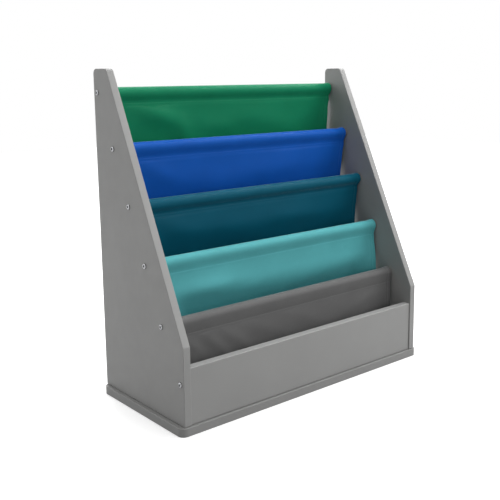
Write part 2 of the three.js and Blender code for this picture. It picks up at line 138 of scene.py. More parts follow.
# Cloth: a strip along the sheet's left end bends to the rear, one along its right end to the front
LEFT_END_STRIP = 0.012
LEFT_END_SLOPE = 0.2
RIGHT_END_STRIP = 0.032
END_STRIP_SOFTNESS = 0.0035
END_SEAM_REACH = 0.030
END_FADE_START = 0.110

# Cloth: hems, seams and stitches
SIDE_HEM = 0.012
HEM_EXTRA = 0.0012
HEM_STEP = 0.0024
HEM_STEPS = 10
HEM_STITCH_INSET = 0.0096
HEM_GROOVE = 0.0009
HEM_GROOVE_WIDTH = 0.0022
HEM_TIP_SHARE = 0.8
EDGE_ROUND_STATIONS = ((0.0, 0.3), (0.0002, 0.75), (0.0006, 1.0))
COLUMN_STEP = 0.0035
SEAM_STITCH_DROP = 0.0022
STITCH_GROOVE = 0.0002
STITCH_GROOVE_WIDTH = 0.0012
STITCH_LENGTH = 0.0026
STITCH_PITCH = 0.0034
STITCH_RADIUS = 0.00028
STITCH_RISE = 0.00012
STITCH_RINGS = 5
STITCH_SIDES = 6
STITCH_END_SHARE = 0.12
STITCH_SMOOTH_ANGLE = 60
PUCKER_DEPTH = 0.00012
PUCKER_REACH = 0.009
PUCKER_SEEDS = (11, 31)
PUCKER_WAVES = (0.019, 0.047)
PUCKER_WAVE_SHARES = (0.6, 0.4)
SLEEVE_START_SHARE = 0.35
SLEEVE_ANGLE_LIMIT = 10
SLEEVE_HANDLE_SHARE = 0.33
SLEEVE_ROWS = 36
SLEEVE_SIDE_ROWS = 16
ALLOWANCE_ROWS = 8
BACK_LEG_ROWS = 44
FRONT_LEG_ROWS = 24
APRON_ROWS = 56
CLOTH_SMOOTH_ANGLE = 55

# The five cloth sections, from the top one to the lowest. Their shares scale the sizes above: the
# seam's place in front of the dowel, the lean, the bottom's reach, how far the sheet is drawn in
# towards its bottom and just below the seam, the folds and the tuck. The folds are waves across
# the width, each with its phase in turns. The end slope is that of the right end strip. A lump is
# its place across as a share of the half width, its depth below the seam, its two sizes, its turn
# in degrees, and how far it stands to the rear; a negative one stands forward.
CLOTHS = (
    dict(name="green", node="sling_green", color=(23, 134, 94), seam_share=0.2,
         lean_share=0.75, reach_share=1.0, draw_share=0.1, fold_share=1.0,
         seam_draw_share=1.3, end_slope=0.20,
         waves=(2, 3.5), phases=(0.15, 0.4), tuck_share=0.1,
         lumps=((-0.62, 0.032, 0.056, 0.023, 14, -0.0090),
                (-0.42, 0.072, 0.028, 0.036, -20, -0.0056),
                (-0.10, 0.066, 0.060, 0.020, 10, -0.0028),
                (0.15, 0.045, 0.090, 0.025, -10, -0.0024),
                (0.45, 0.068, 0.080, 0.026, 10, -0.0034))),
    dict(name="blue", node="sling_blue", color=(20, 90, 184), seam_share=0.35,
         lean_share=0.85, reach_share=1.0, draw_share=0.6, fold_share=0.6,
         seam_draw_share=1.0, end_slope=0.13,
         waves=(1.5, 4), phases=(0.55, 0.1), tuck_share=0.1,
         lumps=((-0.76, 0.034, 0.060, 0.024, 25, -0.0040),
                (-0.35, 0.074, 0.130, 0.042, 8, -0.0050),
                (0.25, 0.060, 0.160, 0.042, -6, -0.0072))),
    dict(name="teal", node="sling_teal", color=(10, 88, 110), seam_share=0.0,
         lean_share=0.75, reach_share=0.9, draw_share=0.7, fold_share=0.5,
         seam_draw_share=0.2, end_slope=0.06,
         waves=(2.5, 4.5), phases=(0.3, 0.8), tuck_share=0.5,
         lumps=((-0.72, 0.034, 0.070, 0.024, 20, -0.0042),
                (-0.22, 0.060, 0.130, 0.036, 10, -0.0050),
                (0.30, 0.048, 0.100, 0.028, 6, -0.0050))),
    dict(name="aqua", node="sling_aqua", color=(92, 178, 183), seam_share=0.5,
         lean_share=-0.4, reach_share=0.2, draw_share=0.1, fold_share=0.5,
         seam_draw_share=0.3, end_slope=0.13,
         waves=(1, 3), phases=(0.7, 0.25), tuck_share=1.0,
         lumps=((-0.60, 0.048, 0.085, 0.022, 0, -0.0086),
                (-0.25, 0.070, 0.110, 0.020, -6, -0.0034),
                (0.28, 0.080, 0.190, 0.026, -3, -0.0068))),
    dict(name="gray", node="apron_gray", color=(110, 110, 110), seam_share=0.85,
         lean_share=-0.5, reach_share=0.0, draw_share=0.1, fold_share=0.9,
         seam_draw_share=0.1, end_slope=0.0,
         waves=(3, 5), phases=(0.05, 0.6), tuck_share=0.0,
         lumps=((-0.86, 0.030, 0.040, 0.012, 52, -0.0014),
                (-0.69, 0.036, 0.050, 0.014, 47, -0.0017),
                (-0.50, 0.044, 0.060, 0.016, 38, -0.0018),
                (-0.22, 0.040, 0.080, 0.018, 24, -0.0013),
                (0.15, 0.040, 0.090, 0.018, 20, -0.0013),
                (0.62, 0.040, 0.070, 0.016, -15, -0.0018))),
)

# Colours, as they are seen on a screen
PAINT_COLOR = (146, 146, 145)
# The base board gets a darker copy of the paint: painted shade for the darker look of the base low
# down by the floor.
BASE_PAINTED_SHADE_SHARE = 0.88
WOOD_COLOR = (206, 172, 126)
WOOD_GRAIN_COLOR = (176, 137, 92)
STEEL_COLOR = (146, 147, 149)
WHITE = (1.0, 1.0, 1.0, 1.0)
FLOOR_COLOR = (205, 205, 205)
FLOOR_BOUNCE_COLOR = (142, 142, 142)

# Noise: its middle range is spread over the range that is asked for. Scales are per metre, and
# a bump is its strength and its height.
NOISE_LOW = 0.3
NOISE_HIGH = 0.7
NOISE_DETAIL = 3.0
FINE_NOISE_DETAIL = 2.0

# Paint: broad clouds of tone, fine specks and the slightly rough skin that a roller leaves
PAINT_CLOUD_SCALE = 6.0
PAINT_CLOUD_SHARES = (0.965, 1.03)
PAINT_SPECK_SCALE = 900.0
PAINT_SPECK_MIX = 0.12
PAINT_SPECK_SHARE = 0.8
PAINT_SPECK_HEIGHT_SHARE = 0.35
PAINT_SKIN_SCALE = 420.0
PAINT_BUMP = (0.18, 0.0002)
PAINT_GLOSS_SCALE = 40.0
PAINT_ROUGHNESS = (0.46, 0.56)
PAINT_SPECULAR = 0.4

# Wood with its grain along the dowels, and steel with fine scuffs
WOOD_GRAIN_SCALES = (6, 160, 160)
WOOD_GRAIN_DETAIL = 5.0
WOOD_ROUGHNESS = (0.5, 0.62)
WOOD_BUMP = (0.2, 0.0003)
STEEL_SCUFF_SCALE = 700.0
STEEL_SCUFF_SHARES = (0.9, 1.0)
STEEL_ROUGHNESS = (0.16, 0.26)
STEEL_BUMP = (0.08, 0.0001)

# Woven cloth: crossing threads, thick spots along both kinds of thread, uneven dye, and painted
# shade in the hollows between the threads
WEAVE_PITCH = 0.0011
WEAVE_BUMP = (0.5, 0.00012)
WEAVE_THREAD_SHARE = 0.25
# Painted shade: the colour darkens towards this share of itself where the weave lies lowest,
# between the threads.
WEAVE_GAP_SHADE_MIX = 0.14
WEAVE_GAP_SHADE_SHARE = 0.35
SLUB_SCALES = ((900, 60, 60), (60, 900, 60))
SLUB_MIX = 0.35
SLUB_SHARE = 0.72
DYE_SCALE = 14.0
DYE_SHARES = (0.95, 1.05)
CLOTH_ROUGHNESS = 0.38
CLOTH_SHEEN = 0.5
CLOTH_SHEEN_ROUGHNESS = 0.22
CLOTH_SPECULAR = 0.055
THREAD_TWIST_SCALE = 2500.0
THREAD_TWIST_DETAIL = 1.0
THREAD_SHARES = (1.0, 1.5)
THREAD_ROUGHNESS = 0.5

# Light: big soft lamps on a sphere about the shelf. Azimuth 0 is in front, 90 to the left.
WORLD_STRENGTH = 0.30
LAMP_DISTANCE = 3.6
LAMP_SIZE = 2.0
LAMP_AIM = (0.0, 0.0, 0.35)
LAMPS = (
    dict(name="overhead", azimuth=0, elevation=90, power=66.0),
    dict(name="rear_top", azimuth=-170, elevation=50, power=82.0),
    dict(name="right_side", azimuth=-100, elevation=35, power=58.0),
    dict(name="front_right", azimuth=-55, elevation=38, power=58.0),
    dict(name="front_low", azimuth=-10, elevation=16, power=34.0),
    dict(name="left_side", azimuth=125, elevation=15, power=27.0),
)
FLOOR_SIZE = 12.0
FLOOR_DROP = 0.0002
FLOOR_GLOW = 0.55
FAR_FLOOR_GLOW = 1.0
FLOOR_GLOW_START = 0.6
FLOOR_GLOW_END = 2.2


def screen(color):
    """A colour of 0 to 255 per channel, as linear values for the shader."""
    values = []
    for channel in color:
        c = channel / 255
        values.append(c / 12.92 if c <= 0.04045 else ((c + 0.055) / 1.055) ** 2.4)
    return (*values, 1.0)


# Mesh helpers
def new_object(name, vertices, faces, material, smooth_angle=None):
    mesh = bpy.data.meshes.new(name)
    mesh.from_pydata([tuple(v) for v in vertices], [], [tuple(f) for f in faces])
    mesh.validate()
    piece = bpy.data.objects.new(name, mesh)
    bpy.context.scene.collection.objects.link(piece)
    if material is not None:
        mesh.materials.append(material)
    if smooth_angle is not None:
        mesh.set_sharp_from_angle(angle=math.radians(smooth_angle))
    return piece


def face_outward(piece):
    """Turns the faces of a closed mesh outward."""
    mesh = bmesh.new()
    mesh.from_mesh(piece.data)
    bmesh.ops.recalc_face_normals(mesh, faces=mesh.faces)
    mesh.to_mesh(piece.data)
    mesh.free()
    return piece


def weigh_normals(piece):
    """Lets the large flat faces set the shading of the small rounded ones beside them."""
    modifier = piece.modifiers.new("even shading", "WEIGHTED_NORMAL")
    modifier.keep_sharp = True
    return piece


def settle(piece, nodes):
    """A finished piece rides on the one rigid body and stands for its nodes."""
    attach(piece, "root")
    if nodes:
        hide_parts(*nodes)
    return piece


def cut_holes(piece, cutters):
    """Takes the cutters out of the piece and deletes them."""
    for cutter in cutters:
        modifier = piece.modifiers.new("hole", "BOOLEAN")
        modifier.operation = "DIFFERENCE"
        modifier.solver = "EXACT"
        modifier.object = cutter
    depsgraph = bpy.context.evaluated_depsgraph_get()
    cut = bpy.data.meshes.new_from_object(piece.evaluated_get(depsgraph))
    piece.modifiers.clear()
    old = piece.data
    piece.data = cut
    cut.name = old.name
    bpy.data.meshes.remove(old)
    for cutter in cutters:
        shape = cutter.data
        bpy.data.objects.remove(cutter)
        bpy.data.meshes.remove(shape)
    return piece


# Turned shapes
def hexagon_radius(angle, radius):
    """Distance to the side of a hexagon whose corners lie at the radius."""
    sector = math.pi / 3
    return radius * math.cos(sector / 2) / math.cos(angle % sector - sector / 2)


def turned(name, profile, place, axis, material, socket=()):
    """A closed turned mesh from rows of (radius, height); those of a socket are six-sided."""
    axis = Vector(axis).normalized()
    turn = axis.to_track_quat("Z", "Y").to_matrix()
    vertices = []
    faces = []
    rings = []
    rows = [(*row, False) for row in profile] + [(*row, True) for row in socket]
    for radius, height, six_sided in rows:
        first = len(vertices)
        if radius == 0:
            vertices.append(turn @ Vector((0, 0, height)) + Vector(place))
            rings.append([first] * ROUND_SIDES)
            continue
        for i in range(ROUND_SIDES):
            angle = 2 * math.pi * i / ROUND_SIDES
            reach = hexagon_radius(angle, radius) if six_sided else radius
            spot = Vector((reach * math.cos(angle), reach * math.sin(angle), height))
            vertices.append(turn @ spot + Vector(place))
        rings.append(list(range(first, first + ROUND_SIDES)))
    for low, high in zip(rings, rings[1:]):
        for i in range(ROUND_SIDES):
            j = (i + 1) % ROUND_SIDES
            corners = [low[i], low[j], high[j], high[i]]
            faces.append([c for n, c in enumerate(corners) if c not in corners[:n]])
    return face_outward(new_object(name, vertices, faces, material, TURNED_SMOOTH_ANGLE))


# Boards: a convex outline with round corners, lofted through the thickness
def corner_arcs(corners):
    """Centre, radius and the two end angles of each rounded corner, counter-clockwise."""
    arcs = []
    count = len(corners)
    for i, (a, b, radius) in enumerate(corners):
        corner = Vector((a, b))
        to_before = (Vector(corners[i - 1][:2]) - corner).normalized()
        to_after = (Vector(corners[(i + 1) % count][:2]) - corner).normalized()
        half = math.acos(to_before.dot(to_after)) / 2
        centre = corner + (to_before + to_after).normalized() * (radius / math.sin(half))
        start = corner + to_before * (radius / math.tan(half)) - centre
        sweep = math.pi - 2 * half
        arcs.append((centre, radius, math.atan2(start.y, start.x), sweep))
    return arcs


def board_ring(arcs, inset):
    ring = []
    for centre, radius, start, sweep in arcs:
        for i in range(CORNER_STEPS + 1):
            angle = start + sweep * i / CORNER_STEPS
            reach = radius - inset
            ring.append((centre.x + reach * math.cos(angle), centre.y + reach * math.sin(angle)))
    return ring


def board(name, corners, low, high, axis, edge_round, material):
    """A board whose thickness runs from low to high along the axis, 'X' or 'Z'."""
    arcs = corner_arcs(corners)
    levels = []
    for i in range(EDGE_ROUND_STEPS + 1):
        angle = math.pi / 2 * i / EDGE_ROUND_STEPS
        levels.append((edge_round * (1 - math.sin(angle)), edge_round * (1 - math.cos(angle))))
    stations = [(low + depth, inset) for inset, depth in levels]
    stations += [(high - depth, inset) for inset, depth in reversed(levels)]
    vertices = []
    size = len(board_ring(arcs, 0))
    for along, inset in stations:
        for a, b in board_ring(arcs, inset):
            vertices.append((along, a, b) if axis == "X" else (a, b, along))
    faces = [list(range(size)), list(range(len(vertices) - size, len(vertices)))]
    for level in range(len(stations) - 1):
        for i in range(size):
            j = (i + 1) % size
            first = level * size
            faces.append((first + i, first + j, first + size + j, first + size + i))
    return face_outward(new_object(name, vertices, faces, material))


def bore(place, axis, start, end, radius):
    """A round cutter along the axis from start to end, through the place."""
    directions = {"X": Vector((1, 0, 0)), "Z": Vector((0, 0, 1))}
    direction = directions[axis]
    centre = Vector(place) - direction * Vector(place).dot(direction) + direction * start
    length = end - start
    profile = [(0, 0), (radius, 0), (radius, length), (0, length)]
    return turned("cutter", profile, centre, direction, None)


def finish_board(piece, cutters, node):
    cut_holes(piece, cutters)
    piece.data.set_sharp_from_angle(angle=math.radians(BOARD_SMOOTH_ANGLE))
    weigh_normals(piece)
    return settle(piece, [node])


def middle(node):
    low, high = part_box(node)
    return (low + high) / 2


def numbered(stem, count):
    return [f"{stem}_{i + 1}" for i in range(count)]


SIDES = {"left": -1, "right": 1}
BASE_SCREWS = numbered("base_screw", BASE_SCREW_COUNT)
DOWELS = numbered("dowel", len(CLOTHS))
BORE_RADIUS = SCREW_RADIUS + BORE_CLEARANCE


def base_screw_hole(screw, top):
    """A cutter for a base screw: its cone and its bore up through the top."""
    low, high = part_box(screw)
    wide = CONE_RADIUS + BORE_CLEARANCE
    profile = [
        (0, -CUT_OVERRUN), (wide, -CUT_OVERRUN), (wide, low.z + CONE_LIP),
        (BORE_RADIUS, low.z + CONE_DEPTH + BORE_CLEARANCE),
        (BORE_RADIUS, top + CUT_OVERRUN), (0, top + CUT_OVERRUN),
    ]
    spot = (low + high) / 2
    return turned("cutter", profile, (spot.x, spot.y, 0), (0, 0, 1), None)


def base_screw_bores(low, high):
    """Bores from below for the base screws that stand under a board's box."""
    cutters = []
    for screw in BASE_SCREWS:
        spot = middle(screw)
        if low.x < spot.x < high.x and low.y < spot.y < high.y:
            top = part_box(screw)[1].z + BORE_CLEARANCE
            cutters.append(bore(spot, "Z", low.z - CUT_OVERRUN, top, BORE_RADIUS))
    return cutters


def pin_bore(pin, axis, start, end):
    """A cutter along a wooden pin, wider than the pin by the clearance."""
    low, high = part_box(pin)
    thick = high.x - low.x if axis == "Z" else high.z - low.z
    return bore(middle(pin), axis, start, end, thick / 2 + BORE_CLEARANCE)


def base_board(material):
    low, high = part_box("base_panel")
    piece = board("base_board", [
        (low.x, low.y, BASE_CORNER_RADIUS), (high.x, low.y, BASE_CORNER_RADIUS),
        (high.x, high.y, BASE_CORNER_RADIUS), (low.x, high.y, BASE_CORNER_RADIUS),
    ], low.z, high.z, "Z", BOARD_EDGE_ROUND, material)
    cutters = [base_screw_hole(screw, high.z) for screw in BASE_SCREWS]
    for side in SIDES:
        for pin in numbered(f"side_pin_{side}", SIDE_PIN_COUNT):
            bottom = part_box(pin)[0].z - BORE_CLEARANCE
            cutters.append(pin_bore(pin, "Z", bottom, high.z + CUT_OVERRUN))
    return finish_board(piece, cutters, "base_panel")


def side_board(side, material):
    panel = f"{side}_side_panel"
    low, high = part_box(panel)
    piece = board(f"{side}_side_board", [
        (low.y, low.z, FOOT_CORNER_RADIUS), (high.y, low.z, FOOT_CORNER_RADIUS),
        (high.y, high.z, TOP_CORNER_RADIUS),
        (high.y - SIDE_TOP_DEPTH, high.z, TOP_CORNER_RADIUS),
        (low.y, KNEE_HEIGHT, KNEE_RADIUS),
    ], low.x, high.x, "X", BOARD_EDGE_ROUND, material)
    ends = (low.x - CUT_OVERRUN, high.x + CUT_OVERRUN)
    screws = [*numbered(f"dowel_screw_{side}", len(CLOTHS)), f"front_panel_screw_{side}"]
    cutters = [bore(middle(screw), "X", *ends, BORE_RADIUS) for screw in screws]
    cutters += base_screw_bores(low, high)
    for pin in numbered(f"side_pin_{side}", SIDE_PIN_COUNT):
        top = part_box(pin)[1].z + BORE_CLEARANCE
        cutters.append(pin_bore(pin, "Z", low.z - CUT_OVERRUN, top))
    pin = f"front_pin_{side}"
    pin_low, pin_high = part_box(pin)
    if side == "left":
        reach = (pin_low.x - BORE_CLEARANCE, high.x + CUT_OVERRUN)
    else:
        reach = (low.x - CUT_OVERRUN, pin_high.x + BORE_CLEARANCE)
    cutters.append(pin_bore(pin, "X", *reach))
    return finish_board(piece, cutters, panel)


def front_board(material):
    low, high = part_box("front_panel")
    piece = board("front_board", [
        (low.y, low.z, FRONT_EDGE_ROUND), (high.y, low.z, FRONT_EDGE_ROUND),
        (high.y, high.z, FRONT_EDGE_ROUND), (low.y, high.z, FRONT_EDGE_ROUND),
    ], low.x, high.x, "X", FRONT_END_ROUND, material)

    def reach(part, side):
        """From outside the panel's end to the end of a screw or pin in it."""
        part_low, part_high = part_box(part)
        if side == "left":
            return low.x - CUT_OVERRUN, part_high.x + BORE_CLEARANCE
        return part_low.x - BORE_CLEARANCE, high.x + CUT_OVERRUN

    cutters = []
    for side in SIDES:
        screw = f"front_panel_screw_{side}"
        pin = f"front_pin_{side}"
        cutters.append(bore(middle(screw), "X", *reach(screw, side), BORE_RADIUS))
        cutters.append(pin_bore(pin, "X", *reach(pin, side)))
    cutters += base_screw_bores(low, high)
    return finish_board(piece, cutters, "front_panel")


# Dowels and screws
def dowel(node, material):
    low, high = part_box(node)
    radius = (high.z - low.z) / 2
    rim = radius - DOWEL_CHAMFER
    length = high.x - low.x
    end = [
        (0, PILOT_DEPTH), (BORE_RADIUS, PILOT_DEPTH), (BORE_RADIUS, 0), (rim, 0),
        (radius, DOWEL_CHAMFER),
    ]
    profile = end + [(reach, length - height) for reach, height in reversed(end)]
    spot = (low + high) / 2
    piece = turned(f"rod_{node[-1]}", profile, (low.x, spot.y, spot.z), (1, 0, 0), material)
    return settle(piece, [node])


def socket_rows(top):
    """The rows of a six-sided socket, from its lip on the flat top down to its floor."""
    return [
        (SOCKET_RADIUS + SOCKET_LIP, top), (SOCKET_RADIUS, top - SOCKET_LIP),
        (SOCKET_RADIUS, top - SOCKET_DEPTH), (0, top - SOCKET_DEPTH),
    ]


def round_screw(node, outward, material):
    low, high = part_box(node)
    length = high.x - low.x - HEAD_HEIGHT
    flat = HEAD_FLAT_SHARE * HEAD_RADIUS
    profile = [
        (0, -length), (SCREW_RADIUS, SCREW_TIP - length), (SCREW_RADIUS, 0),
        (HEAD_RADIUS - SOCKET_LIP, 0), (HEAD_RADIUS, SOCKET_LIP), (HEAD_RADIUS, HEAD_SIDE_HEIGHT),
    ]
    for i in range(1, HEAD_DOME_STEPS + 1):
        angle = math.pi / 2 * i / HEAD_DOME_STEPS
        profile.append((
            flat + (HEAD_RADIUS - flat) * math.cos(angle),
            HEAD_SIDE_HEIGHT + (HEAD_HEIGHT - HEAD_SIDE_HEIGHT) * math.sin(angle)))
    spot = (low + high) / 2
    rest = high.x - HEAD_HEIGHT if outward > 0 else low.x + HEAD_HEIGHT
    piece = turned(
        node.replace("screw", "bolt"), profile, (rest, spot.y, spot.z), (outward, 0, 0), material,
        socket_rows(HEAD_HEIGHT))
    return settle(piece, [node])


def wooden_pin(node, material):
    """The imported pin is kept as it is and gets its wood."""
    materials = frame["nodes"][node].data.materials
    materials.clear()
    materials.append(material)


def flat_screw(node, material):
    low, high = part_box(node)
    length = high.z - low.z
    profile = [
        (0, -length), (SCREW_RADIUS, SCREW_TIP - length), (SCREW_RADIUS, -CONE_DEPTH),
        (CONE_RADIUS, -CONE_LIP), (CONE_RADIUS, -SOCKET_LIP), (CONE_RADIUS - SOCKET_LIP, 0),
    ]
    spot = (low + high) / 2
    piece = turned(
        node.replace("screw", "bolt"), profile, (spot.x, spot.y, low.z), (0, 0, -1), material,
        socket_rows(0))
    return settle(piece, [node])


# Cloth
def bezier(points, share):
    """A cubic curve through arrays of control points, at the shares of its parameter."""
    a, b, c, d = (np.asarray(p, float) for p in points)
    s = share[None, :, None]
    return (a * (1 - s) ** 3 + 3 * b * s * (1 - s) ** 2
            + 3 * c * s ** 2 * (1 - s) + d * s ** 3)


def columns(half_width):
    """Places across the width, finer at the side hems, with the thickness share of each."""
    plain = half_width - SIDE_HEM - HEM_STEP
    count = int(2 * plain / COLUMN_STEP)
    inner = np.linspace(-plain, plain, count + 1)
    hem = [half_width - d for d, share in EDGE_ROUND_STATIONS]
    hem += [half_width - SIDE_HEM * (i + 1) / HEM_STEPS for i in range(HEM_STEPS)]
    right = np.array(hem[::-1])
    places = np.concatenate([-right[::-1], inner, right])
    inset = half_width - np.abs(places)
    shares = np.interp(inset, *np.array(EDGE_ROUND_STATIONS).T)
    return places, inset, shares


def smooth_step(x):
    x = np.clip(x, 0, 1)
    return x * x * (3 - 2 * x)


def ripples(places, seed, wave):
    """A smooth random line along the places, about -1 to 1, with bumps of the wavelength."""
    random = np.random.default_rng(seed)
    step = wave / 2
    knots = np.arange(places.min() - wave, places.max() + 2 * wave, step)
    heights = random.uniform(-1, 1, len(knots))
    index = np.clip(((places - knots[0]) / step).astype(int), 0, len(knots) - 2)
    part = smooth_step((places - knots[index]) / step)
    return heights[index] * (1 - part) + heights[index + 1] * part


def lengths_along(line):
    """Length along a polyline up to each of its points."""
    steps = np.linalg.norm(np.diff(line, axis=0), axis=1)
    return np.concatenate([[0], np.cumsum(steps)])


def side_of(run):
    """Directions (y, z) across a line's own: out of the sleeve, and to the sheet's front."""
    return np.stack([run[..., 1], -run[..., 0]], -1)


def band_faces(count, total, first, length, flip):
    """Quads between each column of points and the next, all round one ring of the columns."""
    j = np.arange(length)
    a = first + j
    b = first + (j + 1) % length
    quads = np.stack([a, b, b + total, a + total], 1)
    if flip:
        quads = quads[:, ::-1]
    return [quad for i in range(count - 1) for quad in (quads + i * total).tolist()]


def mark_flat_cut(piece, places, lengths):
    """Keeps each point's place in the flat cut, by which the weave is laid."""
    flat = np.stack([
        np.repeat(places, len(lengths)), np.tile(lengths, len(places)),
        np.zeros(len(places) * len(lengths))], -1)
    layer = piece.data.attributes.new("flat_cut", "FLOAT_VECTOR", "POINT")
    layer.data.foreach_set("vector", flat.astype(np.float32).ravel())


class Cloth:
    """One cloth section: the sleeve round its dowel and the sheet that hangs from it."""

    def __init__(self, k):
        self.k = k
        self.facts = CLOTHS[k]
        self.last = k == len(CLOTHS) - 1
        self.axis = middle(DOWELS[k])
        low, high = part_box(DOWELS[k])
        self.dowel_radius = (high.z - low.z) / 2
        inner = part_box("right_side_panel")[0].x
        self.half_width = inner - CLOTH_SIDE_GAP
        self.seam = self.seam_of(k)
        self.places, self.inset, self.edge_share = columns(self.half_width)
        self.across = self.places / self.half_width

    @staticmethod
    def seam_of(k):
        axis = middle(DOWELS[k])
        return np.array([axis.y - SEAM_FORWARD * CLOTHS[k]["seam_share"], axis.z - SEAM_DROP])

    def tuck(self, depth):
        """How far the sheet draws back to the rear below its upper part, at each depth."""
        low = depth[:, -1:]
        back = smooth_step((depth - TUCK_START) / (TUCK_END - TUCK_START))
        forth = 1 - smooth_step((depth - TUCK_END) / (low - TUCK_END))
        inner = smooth_step(self.inset / TUCK_HEM_REACH)
        return TUCK_DEPTH * self.facts["tuck_share"] * inner[:, None] * back * forth

    def lumps(self, depth):
        """How far the lumps move the sheet to the rear, at each depth below the seam."""
        total = np.zeros(depth.shape)
        for share, deep, wide, high, turn, rise in self.facts["lumps"]:
            along = (self.across[:, None] - share) * self.half_width
            down = depth - deep
            angle = math.radians(turn)
            a = along * math.cos(angle) + down * math.sin(angle)
            b = down * math.cos(angle) - along * math.sin(angle)
            total += rise * np.exp(-(a / wide) ** 2 - (b / high) ** 2)
        return total * (1 - np.exp(-(np.maximum(depth, 0) / LUMP_SEAM_REACH) ** 2))

    def end_bends(self, depth):
        """How far the strips along the sheet's ends bend to the rear, at each depth."""
        left = LEFT_END_SLOPE * self.end_strip(-1, LEFT_END_STRIP)
        right = self.facts["end_slope"] * self.end_strip(1, RIGHT_END_STRIP)
        begun = 1 - np.exp(-(np.maximum(depth, 0) / END_SEAM_REACH) ** 2)
        fade = smooth_step((depth - END_FADE_START) / (depth[:, -1:] - END_FADE_START))
        return (left - right)[:, None] * begun * (1 - fade)

    def end_strip(self, side, width):
        """How far each column lies inside a soft-edged strip at an end, 1 for the right one."""
        inside = width - (self.half_width - side * self.places)
        return END_STRIP_SOFTNESS * np.log1p(np.exp(inside / END_STRIP_SOFTNESS))

    def fold(self, fall, free):
        """How far the folds move the sheet to the rear, for each column and row."""
        wave = np.zeros(len(self.across))
        for share, count, phase in zip(FOLD_WAVE_SHARES, self.facts["waves"],
                                       self.facts["phases"]):
            wave += share * np.sin(np.pi * (count * (self.across + 1) + 2 * phase))
        return FOLD_DEPTH * self.facts["fold_share"] * wave[:, None] * (free ** 2)[None, :]

    def path(self):
        """Middle line of the sheet for each column: points (y, z) from the seam down, and each
        row's share of the way to the bottom, 0 at a seam and 1 at the bottom."""
        return self.apron_path() if self.last else self.pocket_path()

    def path_start(self):
        return self.seam + [-CLOTH_THICKNESS / 2, -SEAM_ALLOWANCE]

    def apron_path(self):
        """The lowest section hangs to just above the base."""
        start = self.path_start()
        share = np.linspace(0, 1, APRON_ROWS + 1)
        z = start[1] + (self.apron_end() - start[1]) * share
        depth = np.broadcast_to(self.seam[1] - z, (len(self.across), len(z)))
        y = start[0] + LEAN_BACK * self.facts["lean_share"] * share
        y = y + self.fold(share, share) + self.lumps(depth) + self.end_bends(depth)
        return np.stack(np.broadcast_arrays(y, z), -1), share

    @staticmethod
    def apron_end():
        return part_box("base_panel")[1].z + APRON_FLOOR_GAP

    def pocket_path(self):
        """A pocket hangs down to its bottom and comes up again to the seam of the next one."""
        t = CLOTH_THICKNESS
        start = self.path_start()
        ahead = middle(DOWELS[self.k + 1])
        bottom_y = (self.axis.y + ahead.y) / 2
        bottom_z = ahead.z - POCKET_DROP - BOTTOM_SAG * (1 - self.across ** 2)
        bottom = np.stack([np.full(len(bottom_z), bottom_y), bottom_z], -1)[:, None]
        # The front leg ends behind both layers of the next section's seam
        end = self.seam_of(self.k + 1) + [t + t / 2 + CLOTH_GAP, -CLOTH_GAP]
        down_share = np.linspace(0, 1, BACK_LEG_ROWS + 1)
        up_share = np.linspace(0, 1, FRONT_LEG_ROWS + 1)[1:]
        down = bezier((
            start[None, None], start + [LEAN_BACK * self.facts["lean_share"], -BACK_LEG_REACH],
            bottom + [BOTTOM_REACH_BACK * self.facts["reach_share"], 0], bottom), down_share)
        up = bezier((
            bottom, bottom - [BOTTOM_REACH_FRONT, 0],
            end + [FRONT_LEG_LEAN, -FRONT_LEG_REACH], end), up_share)
        depth = self.seam[1] - down[..., 1]
        down[..., 0] += self.fold(down_share, np.sin(np.pi * down_share))
        down[..., 0] += self.tuck(depth) + self.lumps(depth) + self.end_bends(depth)
        return np.concatenate([down, up], 1), np.concatenate([down_share, 1 - up_share])

    def sleeve(self):
        """Middle line of the sleeve from the seam up its rear side, over the dowel and down to
        the seam again, the directions out of it, and how far below the seam the outer surface
        of its rear and front side meets the sheet."""
        radius = self.dowel_radius + CLOTH_GAP + SLEEVE_EASE + CLOTH_THICKNESS / 2
        centre = np.array([self.axis.y, self.axis.z - SLEEVE_EASE])
        rear, rear_angle, rear_drop = self.sleeve_side(1, centre, radius)
        front, front_angle, front_drop = self.sleeve_side(-1, centre, radius)
        angles = np.linspace(-rear_angle, math.pi + front_angle, SLEEVE_ROWS + 1)[1:-1]
        arc = centre + radius * np.stack([np.cos(angles), np.sin(angles)], -1)
        line = np.concatenate([rear, arc, front[::-1]])
        run = np.gradient(line, axis=0)
        run /= np.linalg.norm(run, axis=1, keepdims=True)
        return line, side_of(run), (rear_drop, front_drop)

    def sleeve_side(self, sign, centre, radius):
        """One side of the sleeve, 1 for the rear one: a slight S from the seam up to the arc,
        the angle below the dowel's axis at which the arc begins, and the side's drop."""
        foot = self.seam + [sign * CLOTH_THICKNESS / 2, 0]
        reach = sign * (centre + [sign * radius, 0] - foot)[0]
        arc_angle = SLEEVE_START_SHARE * math.atan2(reach, centre[1] - foot[1])
        shoulder = centre + radius * np.array([sign * math.cos(arc_angle), -math.sin(arc_angle)])
        chord = shoulder - foot
        lean = math.atan2(sign * chord[0], chord[1])
        foot_angle = min(2 * lean - arc_angle, math.radians(SLEEVE_ANGLE_LIMIT))
        handle = SLEEVE_HANDLE_SHARE * np.hypot(*chord)
        rise = foot + handle * np.array([sign * math.sin(foot_angle), math.cos(foot_angle)])
        fall = shoulder + handle * np.array([-sign * math.sin(arc_angle), -math.cos(arc_angle)])
        share = np.linspace(0, 1, SLEEVE_SIDE_ROWS + 1)
        side = bezier([point[None, None] for point in (foot, rise, fall, shoulder)], share)[0]
        return side, arc_angle, CLOTH_THICKNESS / 2 * math.tan(foot_angle / 2)

